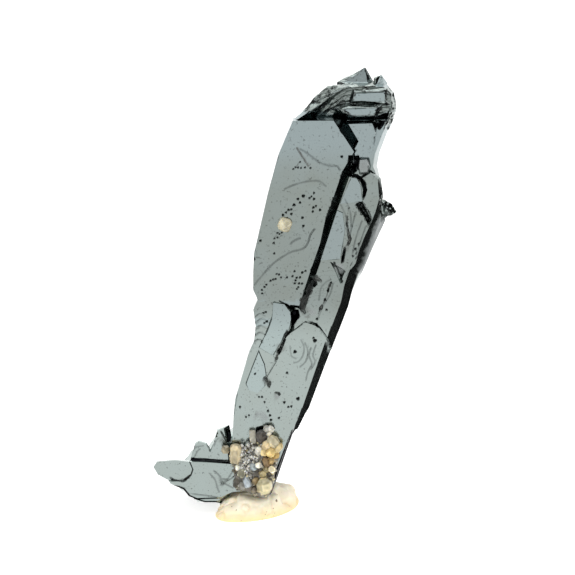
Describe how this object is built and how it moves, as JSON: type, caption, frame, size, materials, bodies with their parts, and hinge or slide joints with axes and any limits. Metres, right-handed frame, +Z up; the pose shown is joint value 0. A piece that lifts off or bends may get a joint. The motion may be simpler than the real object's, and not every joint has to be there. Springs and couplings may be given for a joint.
{
  "type": "hematite specimen",
  "caption": "Leaning group of flat, mirror-bright hematite crystals with a pale quartz crust at its base, held upright in a lump of display putty.",
  "frame": {"origin": "on the floor under the middle of the specimen's bounding box", "axes": "+Z up along the standing height, +X to the right seen from the front, +Y away from the viewer, through the thickness"},
  "size_m": [0.0318, 0.0174, 0.0589],
  "materials": {
    "hematite": "mirror-bright natural crystal faces, steel grey",
    "quartz": "cloudy white to honey-brown grains",
    "pale_grain": "cloudy pale tan",
    "putty": "soft matt cream-white putty"
  },
  "bodies": {
    "root": {"hematite_crystals": "hematite", "quartz_crust": "quartz", "face_grain": "pale_grain", "putty_lump": "putty"}
  },
  "joints": []
}
